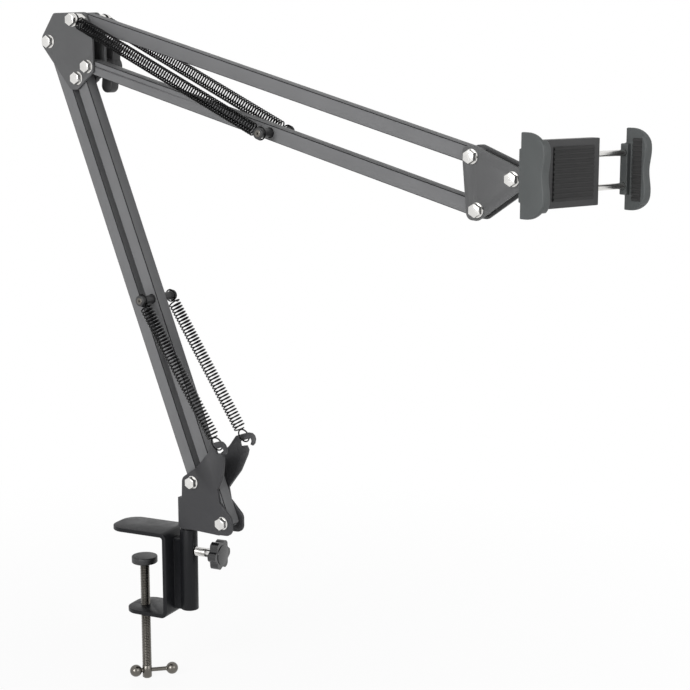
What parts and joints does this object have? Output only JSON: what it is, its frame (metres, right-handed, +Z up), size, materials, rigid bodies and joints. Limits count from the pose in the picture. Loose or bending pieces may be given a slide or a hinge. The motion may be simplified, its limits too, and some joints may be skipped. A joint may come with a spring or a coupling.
{
  "type": "overhead phone stand",
  "caption": "Clamp-on overhead phone stand: a sprung parallel-linkage arm of square tube that swivels on a desk clamp and carries a jawed phone holder on a ball joint.",
  "frame": {"origin": "on the underside of the clamp tongue, where the clamp screw's axis meets it", "axes": "+Z is up along the swivel post, +X is the way the arm reaches, and the arm's linkages move in planes of X and Z"},
  "size_m": [0.4595, 0.0939, 0.4886],
  "materials": {
    "black_paint": "satin powder coat",
    "grey_paint": "satin powder coat",
    "nickel": "bright nickel plate",
    "spring_steel": "dark oiled steel",
    "screw_steel": "gunmetal zinc",
    "gloss_black": "gloss",
    "matte_black": "fine matt",
    "jaw_grey": "soft matt",
    "rubber": "matt"
  },
  "bodies": {
    "clamp": {"clamp_frame": "black_paint"},
    "pad": {"pressure_pad": "screw_steel"},
    "screw": {"clamp_screw": "screw_steel"},
    "tommy": {"tommy_bar": "screw_steel"},
    "lock": {"lock_screw": "nickel", "lock_knob": "gloss_black"},
    "base": {"base_fork": "black_paint", "base_post": "nickel", "pivot_rear_bolt": "nickel", "pivot_rear_nut": "nickel", "pivot_front_bolt": "nickel", "pivot_front_nut": "nickel"},
    "lower_rear": {"lower_rear_bar": "grey_paint"},
    "lower_front": {"lower_front_bar": "grey_paint", "lower_peg": "nickel", "lower_spring_near": "spring_steel", "lower_spring_far": "spring_steel"},
    "elbow": {"elbow_plate_near": "grey_paint", "elbow_plate_far": "grey_paint", "elbow_rear_bolt": "nickel", "elbow_rear_nut": "nickel", "elbow_front_bolt": "nickel", "elbow_front_nut": "nickel", "elbow_low_bolt": "nickel", "elbow_top_stud": "nickel", "elbow_top_nut": "nickel"},
    "elbow_hand": {"elbow_knob": "matte_black"},
    "upper_top": {"upper_top_bar": "grey_paint"},
    "upper_bottom": {"upper_bottom_bar": "grey_paint", "upper_peg": "nickel", "upper_spring_near": "spring_steel", "upper_spring_far": "spring_steel"},
    "head": {"head_plate_near": "grey_paint", "head_plate_far": "grey_paint", "head_top_bolt": "nickel", "head_top_nut": "nickel", "head_low_bolt": "nickel", "head_low_nut": "nickel", "nose_bolt": "nickel", "nose_nut": "nickel"},
    "nose": {"nose_link": "matte_black"},
    "stud": {"ball_stud": "screw_steel"},
    "collar": {"collar_nut": "matte_black"},
    "holder": {"holder_back": "matte_black", "back_pad": "rubber", "fixed_jaw": "jaw_grey", "fixed_grip": "rubber"},
    "slider": {"sliding_jaw": "jaw_grey", "sliding_grip": "rubber", "guide_rod_low": "nickel", "guide_rod_high": "nickel"}
  },
  "joints": [
    {"name": "pad_travel", "type": "slide", "parent": "clamp", "child": "pad", "axis": [0, 0, 1], "range_m": [-0.0225, 0.0195]},
    {"name": "screw_turn", "type": "hinge", "parent": "pad", "child": "screw", "pos_m": [0, 0, -0.06], "axis": [0, 0, 1], "range_deg": [-6485, 5621]},
    {"name": "tommy_slide", "type": "slide", "parent": "screw", "child": "tommy", "axis": [0.682, 0.7314, 0], "range_m": [-0.0102, 0]},
    {"name": "lock_turn", "type": "hinge", "parent": "clamp", "child": "lock", "pos_m": [0.05926, 0.00939, -0.0116], "axis": [0.9877, 0.1564, 0], "continuous": true},
    {"name": "base_swivel", "type": "hinge", "parent": "clamp", "child": "base", "pos_m": [0.03783, 0.00599, 0], "axis": [0, 0, 1], "continuous": true},
    {"name": "lower_arm", "type": "hinge", "parent": "base", "child": "lower_rear", "pos_m": [0.04843, 0.00599, 0.0425], "axis": [0, 1, 0], "range_deg": [-5, 60]},
    {"name": "lower_front_follow", "type": "hinge", "parent": "base", "child": "lower_front", "pos_m": [0.07523, 0.00599, 0.0166], "axis": [0, 1, 0], "range_deg": [-6, 61], "deforming": ["lower_spring_near", "lower_spring_far"]},
    {"name": "elbow_follow", "type": "hinge", "parent": "lower_rear", "child": "elbow", "pos_m": [-0.07869, 0.00599, 0.35245], "axis": [0, 1, 0], "range_deg": [-61, 6]},
    {"name": "elbow_knob_turn", "type": "hinge", "parent": "elbow", "child": "elbow_hand", "pos_m": [-0.04189, 0.00599, 0.33485], "axis": [0, 1, 0], "continuous": true},
    {"name": "upper_arm", "type": "hinge", "parent": "elbow", "child": "upper_top", "pos_m": [-0.04629, 0.00599, 0.36745], "axis": [0, 1, 0], "range_deg": [-65, 16]},
    {"name": "upper_bottom_follow", "type": "hinge", "parent": "elbow", "child": "upper_bottom", "pos_m": [-0.04189, 0.00599, 0.33485], "axis": [0, 1, 0], "range_deg": [-66, 17], "deforming": ["upper_spring_near", "upper_spring_far"]},
    {"name": "head_follow", "type": "hinge", "parent": "upper_top", "child": "head", "pos_m": [0.27368, 0.00599, 0.28231], "axis": [0, 1, 0], "range_deg": [-17, 66]},
    {"name": "nose_tilt", "type": "hinge", "parent": "head", "child": "nose", "pos_m": [0.30248, 0.00599, 0.26971], "axis": [0, 1, 0], "range_deg": [-40, 40]},
    {"name": "stud_swivel", "type": "hinge", "parent": "nose", "child": "stud", "pos_m": [0.33328, 0.00599, 0.26971], "axis": [1, 0, 0], "continuous": true},
    {"name": "holder_tilt", "type": "hinge", "parent": "stud", "child": "collar", "pos_m": [0.33328, 0.00599, 0.26971], "axis": [0, 0, 1], "range_deg": [-5, 37]},
    {"name": "holder_roll", "type": "hinge", "parent": "collar", "child": "holder", "pos_m": [0.33328, 0.00599, 0.26971], "axis": [0.9563, -0.2924, 0], "continuous": true},
    {"name": "jaw_slide", "type": "slide", "parent": "holder", "child": "slider", "axis": [0.2924, 0.9563, 0], "range_m": [-0.019, 0.014]}
  ],
  "couplings": [
    {"joint": "screw_turn", "follows": "pad_travel", "rad_per_m": 5026.5},
    {"joint": "lower_front_follow", "follows": "lower_arm", "ratio": 1},
    {"joint": "elbow_follow", "follows": "lower_arm", "ratio": -1},
    {"joint": "upper_bottom_follow", "follows": "upper_arm", "ratio": 1},
    {"joint": "head_follow", "follows": "upper_arm", "ratio": -1}
  ]
}
